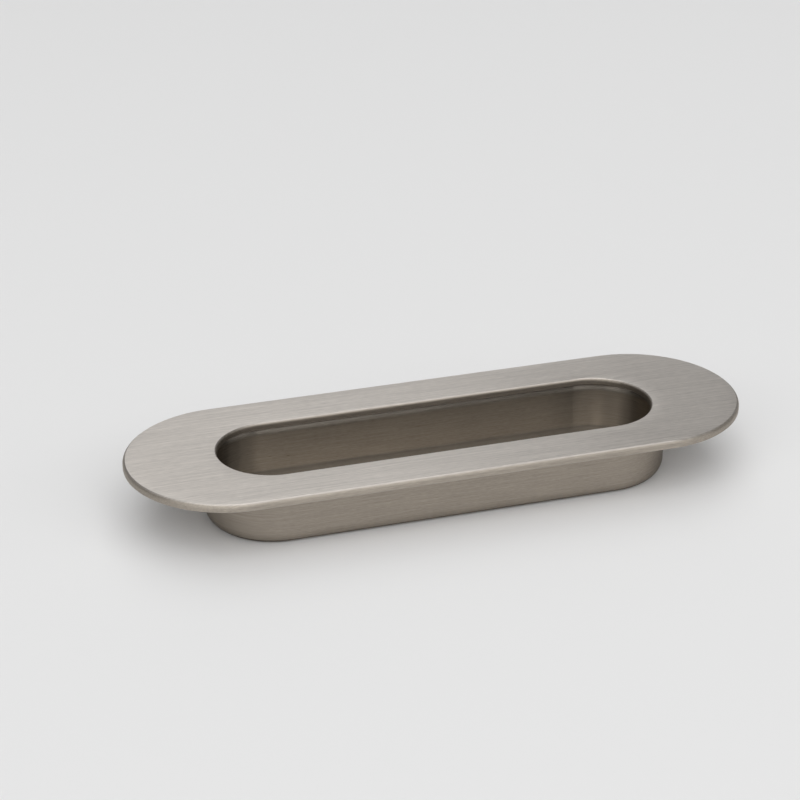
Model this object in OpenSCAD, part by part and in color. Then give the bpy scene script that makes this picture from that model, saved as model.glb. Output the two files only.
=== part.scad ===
// Oblong flush pull for a sliding door: a flat faceplate with eased edges, and a
// drawn sheet-metal cup welded behind it. It stands on the underside of the cup with
// the faceplate's front facing up, as it does before it is let into a door.

/* [Faceplate] */
// Length of the faceplate
plate_length = 120; // [104:1:200]
// Width of the faceplate
plate_width = 40; // [36:0.5:60]
// Thickness of the faceplate
plate_thickness = 1.6; // [1.4:0.1:3]
// Radius of the eased front edge of the faceplate's rim
rim_round = 0.8; // [0.3:0.1:1]
// Width of the faint fall that the brush leaves beside the rim and the opening
brushed_fall = 3; // [1:0.5:4]
// Radius of that fall
fall_radius = 40; // [30:5:80]
// Chamfer on the back edges of the faceplate
back_break = 0.15; // [0.05:0.05:0.25]

/* [Opening] */
// Length of the opening that the fingers go through
opening_length = 85; // [60:1:96]
// Width of the opening
opening_width = 21; // [18:0.5:24]
// Radius of the eased front edge of the opening
opening_round = 0.7; // [0.3:0.1:0.9]

/* [Cup] */
// Height from the cup's underside to the faceplate's front
overall_height = 13.6; // [10:0.1:20]
// Thickness of the sheet that the cup is drawn from
cup_sheet = 1; // [0.6:0.1:1.4]
// How far the cup's wall stands back under the lip of the opening
wall_setback = 1.7; // [0.6:0.1:2]
// Radius under the flange, where the wall turns outwards
rim_bend = 1.2; // [0.4:0.1:1.6]
// Radius inside the cup, where the wall turns into the floor
floor_bend = 1.5; // [1:0.1:3]
// Width of the welding flange outside the wall
flange_width = 3; // [2:0.1:4]

/* [Seat] */
// Depth of the recess in the faceplate's back that locates the flange
seat_depth = 0.2; // [0.1:0.1:0.5]
// Gap between the flange's edge and the recess's edge
seat_clearance = 0.1; // [0.05:0.05:0.3]

/* [Hidden] */
$fn = 96;
// Facets in a full circle of a bend or an eased edge, and of the faint fall
bend_facets = 32;
fall_facets = 480;

satin_nickel = [0.70, 0.68, 0.64];
nickel_in_shade = [0.64, 0.62, 0.58];
// How far a cutter runs past the surface that it cuts
over = 1;

// Heights above the surface that the cup stands on
front = overall_height;
back = front - plate_thickness;
seat = back + seat_depth;
flange_back = seat - cup_sheet;

// Distances out from the middle line of an oblong
rim_edge = plate_width / 2;
opening_edge = opening_width / 2;
wall_face = opening_edge + wall_setback;
wall_back = wall_face + cup_sheet;
flange_edge = wall_back + flange_width;
seat_edge = flange_edge + seat_clearance;

// Half the distance between the two end centres of an oblong
plate_reach = (plate_length - plate_width) / 2;
opening_reach = (opening_length - opening_width) / 2;

// Each bend keeps the thickness of the sheet between its two radii
rim_bend_face = rim_bend + cup_sheet;
floor_bend_back = floor_bend + cup_sheet;

// Sweeps a half section round an oblong. The section's x is the distance out from
// the oblong's middle line, and its y is the height.
module oblong(reach) {
    for (end = [0, 1])
        mirror([end, 0, 0])
            translate([reach, 0, 0])
                rotate(-90)
                    rotate_extrude(angle = 180)
                        children();
    translate([-reach, 0, 0])
        rotate([90, 0, 90])
            linear_extrude(2 * reach)
                for (side = [0, 1])
                    mirror([side, 0])
                        children();
}

// Waste outside a round corner of radius r, with the arc's centre at the origin
module corner_waste(r) {
    difference() {
        square(r + over);
        circle(r, $fn = bend_facets);
    }
}

// Waste above the faint fall, which starts at the origin and runs along +x
module fall_waste() {
    difference() {
        translate([0, -over])
            square([brushed_fall + over, 2 * over]);
        translate([0, -fall_radius])
            circle(fall_radius, $fn = fall_facets);
    }
}

// Waste below a broken edge, on a corner at the origin that points along +x and -y
module edge_waste(size) {
    polygon([[-size, 0], [-size, -over], [over, -over], [over, size], [0, size]]);
}

// Half section of the faceplate's blank, before the opening and the seat are cut
module blank_section() {
    difference() {
        translate([0, back])
            square([rim_edge, plate_thickness]);
        translate([rim_edge - brushed_fall, front])
            fall_waste();
        translate([rim_edge - rim_round, front - rim_round])
            corner_waste(rim_round);
        translate([rim_edge, back])
            edge_waste(back_break);
    }
}

// Half section of the opening's cutter, flared to ease the lip's front edge and to
// break its back edge
module opening_section() {
    translate([0, back - over])
        square([opening_edge, plate_thickness + 2 * over]);
    translate([opening_edge + brushed_fall, front])
        mirror([1, 0])
            fall_waste();
    translate([opening_edge + opening_round, front - opening_round])
        mirror([1, 0])
            corner_waste(opening_round);
    translate([opening_edge, seat])
        mirror([1, 0])
            edge_waste(back_break);
}

// Half section of the cutter for the recess that locates the flange
module seat_section() {
    translate([0, back - over])
        square([seat_edge, seat_depth + over]);
}

// Half section of the space outside the cup's wall, below the flange
module outside_section() {
    difference() {
        translate([wall_back, -over])
            square([flange_width + over, flange_back + over]);
        translate([wall_back + rim_bend, flange_back - rim_bend])
            mirror([1, 0])
                corner_waste(rim_bend);
    }
}

// Half section of the cup's hollow, flared at the top where the wall turns outwards
module hollow_section() {
    difference() {
        translate([0, cup_sheet])
            square([wall_face, seat - cup_sheet + over]);
        translate([wall_face - floor_bend, cup_sheet + floor_bend])
            mirror([0, 1])
                corner_waste(floor_bend);
    }
    translate([wall_face + rim_bend_face, seat - rim_bend_face])
        mirror([1, 0])
            corner_waste(rim_bend_face);
}

// Half section of the cup's sheet: floor, bend, wall, bend and flange
module cup_section() {
    difference() {
        square([flange_edge, seat]);
        outside_section();
        hollow_section();
        translate([wall_back - floor_bend_back, floor_bend_back])
            mirror([0, 1])
                corner_waste(floor_bend_back);
    }
}

// Flat oblong plate with the opening through it and the flange's seat in its back
module faceplate() {
    color(satin_nickel)
        difference() {
            oblong(plate_reach) blank_section();
            oblong(opening_reach) opening_section();
            oblong(opening_reach) seat_section();
        }
}

// Drawn cup with a flange round it, which is welded into the faceplate's seat
module cup() {
    color(nickel_in_shade)
        oblong(opening_reach) cup_section();
}

faceplate();
cup();
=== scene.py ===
"""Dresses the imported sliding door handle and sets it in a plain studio.

The handle is a flush pull: a flat faceplate with a drawn cup welded behind it. Both
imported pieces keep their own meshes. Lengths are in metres, in the frame of the
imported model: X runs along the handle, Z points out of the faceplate's front, and
the floor is at zero height.
"""

import logging
import math
from dataclasses import dataclass
from enum import Enum

import bpy
from mathutils import Matrix, Vector


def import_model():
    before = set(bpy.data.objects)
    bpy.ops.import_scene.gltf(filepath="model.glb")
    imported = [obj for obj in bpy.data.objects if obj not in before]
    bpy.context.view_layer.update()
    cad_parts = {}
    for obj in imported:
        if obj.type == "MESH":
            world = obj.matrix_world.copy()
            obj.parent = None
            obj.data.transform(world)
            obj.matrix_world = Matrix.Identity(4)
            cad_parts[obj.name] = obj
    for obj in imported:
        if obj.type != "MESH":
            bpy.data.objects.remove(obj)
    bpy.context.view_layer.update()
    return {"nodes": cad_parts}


LOG = logging.getLogger("handle")
MM = 0.001

# Half the length of the middle line that the opening and the cup are swept round
OPENING_REACH = 32 * MM

NUMBER = "NodeSocketFloat"
VECTOR = "NodeSocketVector"
NOISE_MEAN = 0.5
WHITE = (1.0, 1.0, 1.0, 1.0)

Socket = bpy.types.NodeSocket
Colour = tuple[float, float, float]
Pair = tuple[float, float]


class Grain(Enum):
    """Which way the brush ran over a surface."""

    LENGTHWISE = "along the handle's length"
    ROUND_THE_WALL = "level, round the cup's wall"


class Graph:
    """A thin builder for one node tree, which places and links nodes."""

    def __init__(self, tree: bpy.types.NodeTree) -> None:
        """Keeps the tree that the nodes go into.

        Args:
            tree: a material's, world's or group's node tree.
        """
        self.tree = tree

    def node(self, kind: str, **settings: object) -> bpy.types.Node:
        """Adds one node and sets its properties.

        Args:
            kind: the node's type name in Blender.
            settings: property names and values.

        Returns:
            The new node.
        """
        made = self.tree.nodes.new(kind)
        for name, value in settings.items():
            setattr(made, name, value)
        return made

    def feed(self, socket: Socket, value: object) -> None:
        """Links a socket to another one, or sets its own value.

        Args:
            socket: the input to fill.
            value: an output socket, a number, a vector or a colour.
        """
        if isinstance(value, bpy.types.NodeSocket):
            self.tree.links.new(value, socket)
        else:
            socket.default_value = value

    def math(self, operation: str, *values: object) -> Socket:
        """Adds a Math node.

        Args:
            operation: the node's operation, such as "ADD".
            values: its inputs, each a number or an output socket.

        Returns:
            The node's output.
        """
        made = self.node("ShaderNodeMath", operation=operation)
        for socket, value in zip(made.inputs, values):
            self.feed(socket, value)
        return made.outputs[0]

    def span(self, value: object, low: Pair, high: Pair, smooth: bool) -> Socket:
        """Maps one range of numbers to another, and holds it at both ends.

        Args:
            value: the number or socket to map.
            low: the value at the start, before and after the mapping.
            high: the value at the end, before and after the mapping.
            smooth: whether the change eases in and out.

        Returns:
            The mapped number.
        """
        made = self.node("ShaderNodeMapRange", clamp=True)
        made.interpolation_type = "SMOOTHSTEP" if smooth else "LINEAR"
        for name, number in zip(("From Min", "To Min"), low):
            made.inputs[name].default_value = number
        for name, number in zip(("From Max", "To Max"), high):
            made.inputs[name].default_value = number
        self.feed(made.inputs["Value"], value)
        return made.outputs["Result"]

    def fade(self, value: object, ends: Pair, smooth: bool = True) -> Socket:
        """Gives 1 up to the first end, and 0 past the second."""
        return self.span(value, (ends[0], 1.0), (ends[1], 0.0), smooth)

    def rise(self, value: object, ends: Pair, smooth: bool = True) -> Socket:
        """Gives 0 up to the first end, and 1 past the second."""
        return self.span(value, (ends[0], 0.0), (ends[1], 1.0), smooth)

    def mix(self, factor: object, first: object, second: object) -> Socket:
        """Blends two numbers.

        Args:
            factor: 0 gives the first, and 1 the second.
            first: a number or socket.
            second: a number or socket.

        Returns:
            The blended number.
        """
        made = self.node("ShaderNodeMix", data_type="FLOAT")
        for socket, value in zip(made.inputs[:1] + made.inputs[2:4], (factor, first, second)):
            self.feed(socket, value)
        return made.outputs[0]

    def blend(self, factor: object, first: object, second: object) -> Socket:
        """Blends two colours.

        Args:
            factor: 0 gives the first, and 1 the second.
            first: a colour or socket.
            second: a colour or socket.

        Returns:
            The blended colour.
        """
        made = self.node("ShaderNodeMix", data_type="RGBA")
        for socket, value in zip(made.inputs[:1] + made.inputs[6:8], (factor, first, second)):
            if isinstance(value, tuple):
                value = value + (1.0,)
            self.feed(socket, value)
        return made.outputs[2]

    def scaled(self, colour: Socket, level: object) -> Socket:
        """Makes a colour lighter or darker by a number."""
        made = self.node("ShaderNodeVectorMath", operation="SCALE")
        self.feed(made.inputs[0], colour)
        self.feed(made.inputs["Scale"], level)
        return made.outputs[0]

    def split(self, vector: Socket) -> list[Socket]:
        """Gives a vector's three parts."""
        made = self.node("ShaderNodeSeparateXYZ")
        self.feed(made.inputs[0], vector)
        return list(made.outputs)

    def join(self, *parts: object) -> Socket:
        """Makes a vector of three parts."""
        made = self.node("ShaderNodeCombineXYZ")
        for socket, value in zip(made.inputs, parts):
            self.feed(socket, value)
        return made.outputs[0]

    def noise(self, vector: Socket, scale: float, detail: float, roughness: float) -> Socket:
        """Adds a noise texture and gives its value, about 0.5 on average."""
        made = self.node("ShaderNodeTexNoise")
        for name, value in (
            ("Vector", vector), ("Scale", scale), ("Detail", detail), ("Roughness", roughness),
        ):
            self.feed(made.inputs[name], value)
        return made.outputs[0]

    def group(self, tree: bpy.types.NodeTree, **values: object) -> bpy.types.Node:
        """Places a node group.

        Args:
            tree: the group's tree.
            values: its inputs by name.

        Returns:
            The group node.
        """
        made = self.node("ShaderNodeGroup", node_tree=tree)
        for name, value in values.items():
            self.feed(made.inputs[name], value)
        return made


def new_group(
    name: str, takes: dict[str, str], gives: dict[str, str]
) -> tuple[Graph, bpy.types.Node, bpy.types.Node]:
    """Starts a shader node group with named sockets.

    Args:
        name: the group's name.
        takes: the inputs, each name with its socket type.
        gives: the outputs, each name with its socket type.

    Returns:
        The graph, and its input and output nodes.
    """
    tree = bpy.data.node_groups.new(name, "ShaderNodeTree")
    for sockets, way in ((takes, "INPUT"), (gives, "OUTPUT")):
        for socket, kind in sockets.items():
            tree.interface.new_socket(socket, in_out=way, socket_type=kind)
    graph = Graph(tree)
    return graph, graph.node("NodeGroupInput"), graph.node("NodeGroupOutput")


@dataclass(frozen=True)
class Streaks:
    """One layer of brush marks.

    Along and across say how many times more often its marks repeat, along and across
    the brush's path, than the finish's own streak length and width do.
    """

    along: float
    across: float
    weight: float
    detail: float = 1.0
    roughness: float = 0.5

    def value(self, graph: Graph, ways: tuple[Socket, Socket, Socket]) -> Socket:
        """Builds the layer.

        Args:
            graph: the group's graph.
            ways: the place along, across and below the marks, in streaks.

        Returns:
            Its value, about 0.5 on average.
        """
        often = (self.along, self.across, self.across)
        place = graph.join(*(graph.math("MULTIPLY", way, times) for way, times in zip(ways, often)))
        return graph.noise(place, 1.0, self.detail, self.roughness)


@dataclass(frozen=True)
class Effects:
    """The node groups that more than one finish uses."""

    grain: bpy.types.NodeTree
    oblong: bpy.types.NodeTree

    @classmethod
    def build(cls) -> "Effects":
        """Builds each group once."""
        return cls(grain=cls._grain(), oblong=cls._oblong())

    @staticmethod
    def _grain() -> bpy.types.NodeTree:
        """Builds brush marks: long thin streaks of lighter and darker metal.

        Returns:
            The group. Its Along and Across are places on the surface, in metres along
            and across the brush marks. Tone is about 0 on average.
        """
        fine = Streaks(along=1.0, across=1.0, weight=0.45, detail=2.0, roughness=0.6)
        broad = Streaks(along=0.5, across=0.4, weight=0.2)
        grit = Streaks(along=7.0, across=1.1, weight=0.35)
        tone_gain = 4.0
        graph, given, result = new_group(
            "brush_marks",
            {"Along": NUMBER, "Across": NUMBER, "Depth": NUMBER, "Length": NUMBER, "Width": NUMBER},
            {"Tone": NUMBER, "Height": NUMBER},
        )
        along, across, depth, length, width = given.outputs[:5]
        ways = (
            graph.math("DIVIDE", along, length),
            graph.math("DIVIDE", across, width),
            graph.math("DIVIDE", depth, width),
        )
        height = fine.value(graph, ways)
        total = graph.math("MULTIPLY", height, fine.weight)
        for layer in (broad, grit):
            total = graph.math("MULTIPLY_ADD", layer.value(graph, ways), layer.weight, total)
        tone = graph.math("MULTIPLY", graph.math("SUBTRACT", total, NOISE_MEAN), tone_gain)
        graph.feed(result.inputs["Tone"], tone)
        graph.feed(result.inputs["Height"], height)
        return graph.tree

    @staticmethod
    def _oblong() -> bpy.types.NodeTree:
        """Builds the distance out from the middle line of an oblong.

        Returns:
            The group. Reach is half the length of the middle line.
        """
        graph, given, result = new_group(
            "distance_from_middle_line", {"Place": VECTOR, "Reach": NUMBER}, {"Distance": NUMBER}
        )
        x, y, _ = graph.split(given.outputs["Place"])
        past = graph.math("SUBTRACT", graph.math("ABSOLUTE", x), given.outputs["Reach"])
        past = graph.math("MAXIMUM", past, 0.0)
        square = graph.math("ADD", graph.math("MULTIPLY", past, past), graph.math("MULTIPLY", y, y))
        graph.feed(result.inputs["Distance"], graph.math("SQRT", square))
        return graph.tree


@dataclass(frozen=True)
class BrushedMetal:
    """A satin metal finish with brush marks."""

    tint: Colour
    roughness: float
    anisotropy: float
    streak_length: float
    streak_width: float
    streak_tone: float
    streak_height: float = 2e-6
    streak_roughness: float = 0.05
    clouds_per_metre: float = 90.0
    cloud_tone: float = 0.05

    def start(self, name: str) -> tuple[bpy.types.Material, Graph, bpy.types.Node]:
        """Makes an empty material with its shader.

        Args:
            name: the material's name.

        Returns:
            The material, its graph and its Principled BSDF node.
        """
        material = bpy.data.materials.new(name)
        material.use_nodes = True
        material.node_tree.nodes.clear()
        graph = Graph(material.node_tree)
        shader = graph.node("ShaderNodeBsdfPrincipled")
        shader.inputs["Metallic"].default_value = 1.0
        shader.inputs["Anisotropic"].default_value = self.anisotropy
        end = graph.node("ShaderNodeOutputMaterial")
        graph.feed(end.inputs["Surface"], shader.outputs[0])
        return material, graph, shader

    def marks(self, graph: Graph, effects: Effects, place: Socket, way: Grain) -> tuple[Socket, Socket]:
        """Places the brush marks that run one way.

        Args:
            graph: the material's graph.
            effects: the shared groups.
            place: the place on the surface, in metres.
            way: which way the marks run.

        Returns:
            The marks' tone, about 0 on average, and their height.
        """
        x, y, z = graph.split(place)
        if way is Grain.LENGTHWISE:
            along, across, depth = x, y, z
        else:
            along, across, depth = graph.math("ADD", x, y), z, 0.0
        made = graph.group(
            effects.grain, Along=along, Across=across, Depth=depth,
            Length=self.streak_length, Width=self.streak_width,
        )
        return made.outputs["Tone"], made.outputs["Height"]

    def brush(
        self, graph: Graph, shader: bpy.types.Node, place: Socket,
        marks: tuple[Socket, Socket], tint: Socket, roughness: Socket,
    ) -> None:
        """Feeds the shader with the metal, its brush marks and faint clouds.

        Args:
            graph: the material's graph.
            shader: its Principled BSDF node.
            place: the place on the surface, in metres.
            marks: the brush marks' tone and height.
            tint: the metal's colour without them.
            roughness: the metal's roughness without them.
        """
        tone, height = marks
        cloud = graph.noise(place, self.clouds_per_metre, 2.0, 0.5)
        level = graph.math(
            "ADD",
            graph.math("MULTIPLY_ADD", tone, self.streak_tone, 1.0),
            graph.math("MULTIPLY", graph.math("SUBTRACT", cloud, NOISE_MEAN), self.cloud_tone),
        )
        graph.feed(shader.inputs["Base Color"], graph.scaled(tint, level))
        rubbed = graph.math("MULTIPLY_ADD", tone, self.streak_roughness, roughness)
        graph.feed(shader.inputs["Roughness"], rubbed)
        bump = graph.node("ShaderNodeBump")
        bump.inputs["Distance"].default_value = self.streak_height
        graph.feed(bump.inputs["Height"], height)
        graph.feed(shader.inputs["Normal"], bump.outputs[0])
        graph.feed(shader.inputs["Tangent"], across_the_marks(graph))


@dataclass(frozen=True)
class Faceplate:
    """The flat oblong plate that lies on the door.

    Its painted shades and its rougher edges follow how level the surface is: 1 on the flat
    and 0 on the rim's side. Each pair of levels says where a painted shade or the roughness
    is full, and where it ends.
    """

    node: str = "faceplate"
    finish: BrushedMetal = BrushedMetal(
        tint=(0.583, 0.546, 0.507), roughness=0.34, anisotropy=0.5,
        streak_length=12 * MM, streak_width=0.18 * MM, streak_tone=0.28,
    )
    # Painted shade: a darker tint on the rounded edges that dims their highlight
    ridge_painted_shade: Colour = (0.525, 0.492, 0.458)
    ridge_levels: Pair = (0.8, 0.98)
    # Painted shade: a darker, warmer tint on the plate's side faces
    edge_painted_shade: Colour = (0.43, 0.386, 0.334)
    edge_levels: Pair = (0.5, 0.92)
    edge_roughness: float = 0.6
    rough_levels: Pair = (0.7, 0.97)
    # Painted shade: a dark tint on the inner face of the opening's lip
    lip_painted_shade: Colour = (0.22, 0.192, 0.16)
    lip_levels: Pair = (0.2, 0.7)
    lip_distances: Pair = (11.5 * MM, 12.5 * MM)

    def dress(self, piece: bpy.types.Object, effects: Effects) -> None:
        """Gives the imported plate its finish.

        Args:
            piece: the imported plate.
            effects: the shared groups.
        """
        material, graph, shader = self.finish.start("satin_nickel_plate")
        place = graph.node("ShaderNodeTexCoord").outputs["Object"]
        marks = self.finish.marks(graph, effects, place, Grain.LENGTHWISE)
        level = levelness(graph)
        # Painted shade on the rounded edges, dimming their highlight
        tint = graph.blend(graph.fade(level, self.ridge_levels), self.finish.tint, self.ridge_painted_shade)
        # Painted shade on the side faces
        tint = graph.blend(graph.fade(level, self.edge_levels), tint, self.edge_painted_shade)
        out = graph.group(effects.oblong, Place=place, Reach=OPENING_REACH).outputs["Distance"]
        # Painted shade on the inner face of the opening's lip
        near = graph.fade(out, self.lip_distances, smooth=False)
        lip = graph.math("MULTIPLY", near, graph.fade(level, self.lip_levels))
        tint = graph.blend(lip, tint, self.lip_painted_shade)
        rough = graph.fade(level, self.rough_levels, smooth=False)
        roughness = graph.mix(rough, self.finish.roughness, self.edge_roughness)
        self.finish.brush(graph, shader, place, marks, tint, roughness)
        put_on(piece, material)


@dataclass(frozen=True)
class Cup:
    """The drawn cup behind the plate, which the fingers reach into.

    Heights are above the floor that the cup stands on, and distances out from the
    middle line of the cup. The wall's sheet is parted into inside and outside at
    sheet_middle, which widens by flare_slope above flare_start, where the wall turns
    outwards.
    """

    node: str = "cup"
    finish: BrushedMetal = BrushedMetal(
        tint=(0.377, 0.333, 0.283), roughness=0.33, anisotropy=0.85,
        streak_length=8 * MM, streak_width=0.17 * MM, streak_tone=0.27,
    )
    grazing_tint: Colour = (0.6, 0.6, 0.6)
    flat_levels: Pair = (0.5, 0.9)
    # Painted shade: a darker tint inside the cup's recess
    inside_painted_shade: Colour = (0.355, 0.317, 0.272)
    inside_roughness: float = 0.31
    inside_heights: Pair = (0.4 * MM, 0.6 * MM)
    inside_margins: Pair = (0.0, 0.1 * MM)
    sheet_middle: float = 12.7 * MM
    flare_start: float = 10 * MM
    flare_slope: float = 0.7
    neck_shade: float = 0.5
    neck_heights: Pair = (10.35 * MM, 10.95 * MM)
    # Painted shade: a dark tint in the bend round the cup's inner floor
    bend_painted_shade: Colour = (0.18, 0.155, 0.126)
    bend_roughness: float = 0.6
    bend_heights: Pair = (2.2 * MM, 2.8 * MM)
    bend_levels: Pair = (0.97, 0.999)

    def dress(self, piece: bpy.types.Object, effects: Effects) -> None:
        """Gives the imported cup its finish.

        Args:
            piece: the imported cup.
            effects: the shared groups.
        """
        material, graph, shader = self.finish.start("satin_nickel_cup")
        shader.inputs["Specular Tint"].default_value = self.grazing_tint + (1.0,)
        place = graph.node("ShaderNodeTexCoord").outputs["Object"]
        flat = graph.rise(levelness(graph), self.flat_levels)
        ways = (Grain.ROUND_THE_WALL, Grain.LENGTHWISE)
        wall_marks, flat_marks = (self.finish.marks(graph, effects, place, way) for way in ways)
        tone, height = (graph.mix(flat, *both) for both in zip(wall_marks, flat_marks))
        z = graph.split(place)[2]
        inside = self.inside(graph, effects, place)
        bend = self.bottom_bend(graph, inside, z)
        # Painted shade inside the cup
        tint = graph.blend(inside, self.finish.tint, self.inside_painted_shade)
        # Painted shade in the bend round the cup's floor
        tint = graph.blend(bend, tint, self.bend_painted_shade)
        low, high = self.neck_heights
        neck = graph.span(z, (low, 1.0), (high, self.neck_shade), smooth=True)
        tint = graph.scaled(tint, graph.mix(inside, 1.0, neck))
        roughness = graph.mix(inside, self.finish.roughness, self.inside_roughness)
        roughness = graph.mix(bend, roughness, self.bend_roughness)
        self.finish.brush(graph, shader, place, (tone, height), tint, roughness)
        put_on(piece, material)

    def inside(self, graph: Graph, effects: Effects, place: Socket) -> Socket:
        """Marks the surfaces inside the cup, which the fingers touch and where painted shade darkens
        the tint.

        Args:
            graph: the material's graph.
            effects: the shared groups.
            place: the place on the surface, in metres.

        Returns:
            1 inside the cup, and 0 outside.
        """
        z = graph.split(place)[2]
        out = graph.group(effects.oblong, Place=place, Reach=OPENING_REACH).outputs["Distance"]
        flare = graph.math("MAXIMUM", graph.math("SUBTRACT", z, self.flare_start), 0.0)
        middle = graph.math("MULTIPLY_ADD", flare, self.flare_slope, self.sheet_middle)
        margin = graph.math("SUBTRACT", middle, out)
        return graph.math(
            "MULTIPLY",
            graph.rise(margin, self.inside_margins, smooth=False),
            graph.rise(z, self.inside_heights, smooth=False),
        )

    def bottom_bend(self, graph: Graph, inside: Socket, z: Socket) -> Socket:
        """Marks the bend round the cup's floor, where painted shade darkens the corner and the finish
        is rougher.

        Args:
            graph: the material's graph.
            inside: 1 inside the cup.
            z: the height.

        Returns:
            1 on the bend, inside the cup.
        """
        low = graph.fade(z, self.bend_heights)
        tilted = graph.fade(levelness(graph), self.bend_levels, smooth=False)
        return graph.math("MULTIPLY", inside, graph.math("MULTIPLY", low, tilted))


def levelness(graph: Graph) -> Socket:
    """Gives how level a surface is: 1 where it faces up or down, 0 on a wall."""
    normal = graph.split(graph.node("ShaderNodeNewGeometry").outputs["Normal"])
    return graph.math("ABSOLUTE", normal[2])


def across_the_marks(graph: Graph) -> Socket:
    """Gives the direction across the brush marks, which highlights stretch along.

    Args:
        graph: the material's graph.

    Returns:
        Across the handle on level surfaces, and straight up on walls.
    """
    level = levelness(graph)
    return graph.join(0.0, graph.math("MULTIPLY", level, level), graph.math("SUBTRACT", 1.0, level))


def put_on(piece: bpy.types.Object, material: bpy.types.Material) -> None:
    """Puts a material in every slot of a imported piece.

    Args:
        piece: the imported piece.
        material: the material that it gets.
    """
    for slot in piece.material_slots:
        slot.material = material
    LOG.info("%s gets %s", piece.name, material.name)


@dataclass(frozen=True)
class Softbox:
    """A flat lamp that faces the handle and shines evenly over its whole face.

    The angles are in degrees, as seen from the handle. The compass one runs clockwise
    from +Y, seen from above. The half size is half the lamp's width and half its height.
    """

    name: str
    compass: float
    height: float
    half_size: Pair
    radiance: float
    distance: float = 3.0

    def hang(self) -> None:
        """Makes the lamp."""
        turn, rise = math.radians(self.compass), math.radians(self.height)
        place = self.distance * Vector(
            (math.sin(turn) * math.cos(rise), math.cos(turn) * math.cos(rise), math.sin(rise))
        )
        width, tall = (2 * self.distance * math.tan(math.radians(half)) for half in self.half_size)
        light = bpy.data.lights.new(self.name, "AREA")
        light.shape = "RECTANGLE"
        light.size, light.size_y = width, tall
        light.energy = math.pi * width * tall * self.radiance
        lamp = bpy.data.objects.new(self.name, light)
        lamp.location = place
        lamp.rotation_euler = (-place).to_track_quat("-Z", "Y").to_euler()
        bpy.context.scene.collection.objects.link(lamp)


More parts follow.
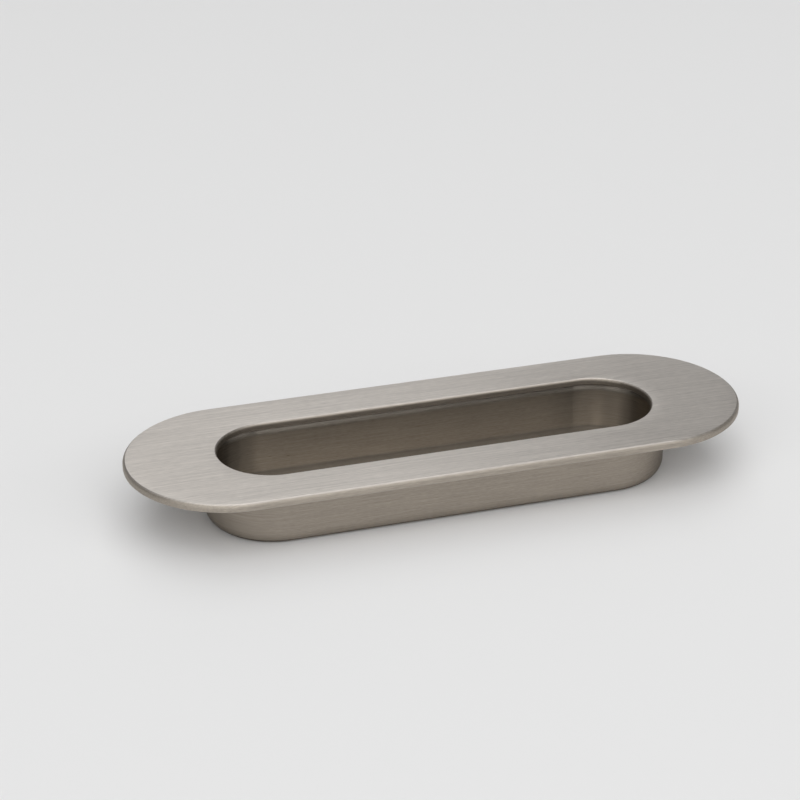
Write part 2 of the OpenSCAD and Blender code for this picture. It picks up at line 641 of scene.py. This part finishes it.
@dataclass(frozen=True)
class Studio:
    """The floor, the lamps and the camera."""

    floor_half: float = 4.0
    floor_level: float = 0.80
    world_level: float = 0.14
    softboxes: tuple[Softbox, ...] = (
        Softbox("front_left_softbox", compass=225, height=45, half_size=(21, 20), radiance=1.42),
        Softbox("front_softbox", compass=187, height=49, half_size=(22, 20), radiance=1.48),
        Softbox("front_right_softbox", compass=150, height=45, half_size=(20, 20), radiance=1.02),
        Softbox("top_softbox", compass=0, height=89.9, half_size=(25, 25), radiance=1.12),
        Softbox("back_left_softbox", compass=350, height=52, half_size=(15, 12), radiance=0.38),
        Softbox("back_right_softbox", compass=20, height=52, half_size=(15, 12), radiance=0.8),
        Softbox("front_card", compass=180, height=25, half_size=(15, 9), radiance=1.15),
        Softbox("left_card", compass=240, height=22, half_size=(22, 10), radiance=0.8),
        Softbox("right_card", compass=132, height=22, half_size=(20, 10), radiance=0.92),
        Softbox("back_card", compass=8, height=33, half_size=(11, 8), radiance=0.67),
        Softbox("low_back_card", compass=8, height=14, half_size=(11, 11), radiance=0.48),
        Softbox("low_right_card", compass=30, height=13, half_size=(11, 11), radiance=0.58),
    )

    def build(self) -> None:
        """Builds the whole studio."""
        self._floor()
        self._world()
        for softbox in self.softboxes:
            softbox.hang()
        PhotoCamera().place()

    def _floor(self) -> None:
        """Lays the pale floor that the handle stands on."""
        half = self.floor_half
        mesh = bpy.data.meshes.new("floor")
        corners = [(-half, -half, 0), (half, -half, 0), (half, half, 0), (-half, half, 0)]
        mesh.from_pydata(corners, [], [(0, 1, 2, 3)])
        floor = bpy.data.objects.new("floor", mesh)
        bpy.context.scene.collection.objects.link(floor)
        material = bpy.data.materials.new("pale_floor")
        material.use_nodes = True
        material.node_tree.nodes.clear()
        graph = Graph(material.node_tree)
        shader = graph.node("ShaderNodeBsdfDiffuse")
        shader.inputs["Color"].default_value = (self.floor_level,) * 3 + (1.0,)
        end = graph.node("ShaderNodeOutputMaterial")
        graph.feed(end.inputs["Surface"], shader.outputs[0])
        mesh.materials.append(material)

    def _world(self) -> None:
        """Sets the even light from all round."""
        world = bpy.data.worlds.new("studio")
        bpy.context.scene.world = world
        world.use_nodes = True
        world.node_tree.nodes.clear()
        graph = Graph(world.node_tree)
        background = graph.node("ShaderNodeBackground")
        background.inputs["Color"].default_value = WHITE
        background.inputs["Strength"].default_value = self.world_level
        end = graph.node("ShaderNodeOutputWorld")
        graph.feed(end.inputs["Surface"], background.outputs[0])


@dataclass(frozen=True)
class PhotoCamera:
    """The camera, where the photograph was taken from.

    The frame, the focal length and the place where the target is seen are in the
    photograph's pixels, and the sensor and the lens in millimetres.
    """

    azimuth: float = math.radians(-17.642)
    elevation: float = math.radians(26.595)
    distance: float = 0.44043
    target: tuple[float, float, float] = (0.0, 0.0, 13.6 * MM)
    frame: float = 800.0
    focal: float = 2330.4
    seen_at: Pair = (437.65, 424.11)
    sensor: float = 36.0
    clip: Pair = (0.01, 100.0)

    def place(self) -> None:
        """Makes the camera, turned so that its target shows off the middle."""
        data = bpy.data.cameras.new("camera")
        data.sensor_width = self.sensor
        data.lens = self.focal * self.sensor / self.frame
        data.clip_start, data.clip_end = self.clip
        camera = bpy.data.objects.new("camera", data)
        bpy.context.scene.collection.objects.link(camera)
        a, e = self.azimuth, self.elevation
        right = Vector((math.cos(a), math.sin(a), 0.0))
        back = Vector((math.sin(a) * math.cos(e), -math.cos(a) * math.cos(e), math.sin(e)))
        aimed = Matrix((right, back.cross(right), back))
        half = self.frame / 2
        x, y = self.seen_at
        towards = Vector(((x - half) / self.focal, (half - y) / self.focal, -1.0))
        turn = Vector((0.0, 0.0, -1.0)).rotation_difference(towards).to_matrix()
        turned = (turn @ aimed).transposed().to_4x4()
        place = Vector(self.target) + back * self.distance
        camera.matrix_world = Matrix.Translation(place) @ turned
        bpy.context.scene.camera = camera


def main() -> None:
    """Builds the scene and reports each piece."""
    logging.basicConfig(level=logging.INFO, format="%(name)s: %(message)s")
    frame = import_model()
    effects = Effects.build()
    for part in (Faceplate(), Cup()):
        part.dress(frame["nodes"][part.node], effects)
    Studio().build()
    bpy.context.scene.view_settings.view_transform = "Standard"


if __name__ == "__main__":
    main()
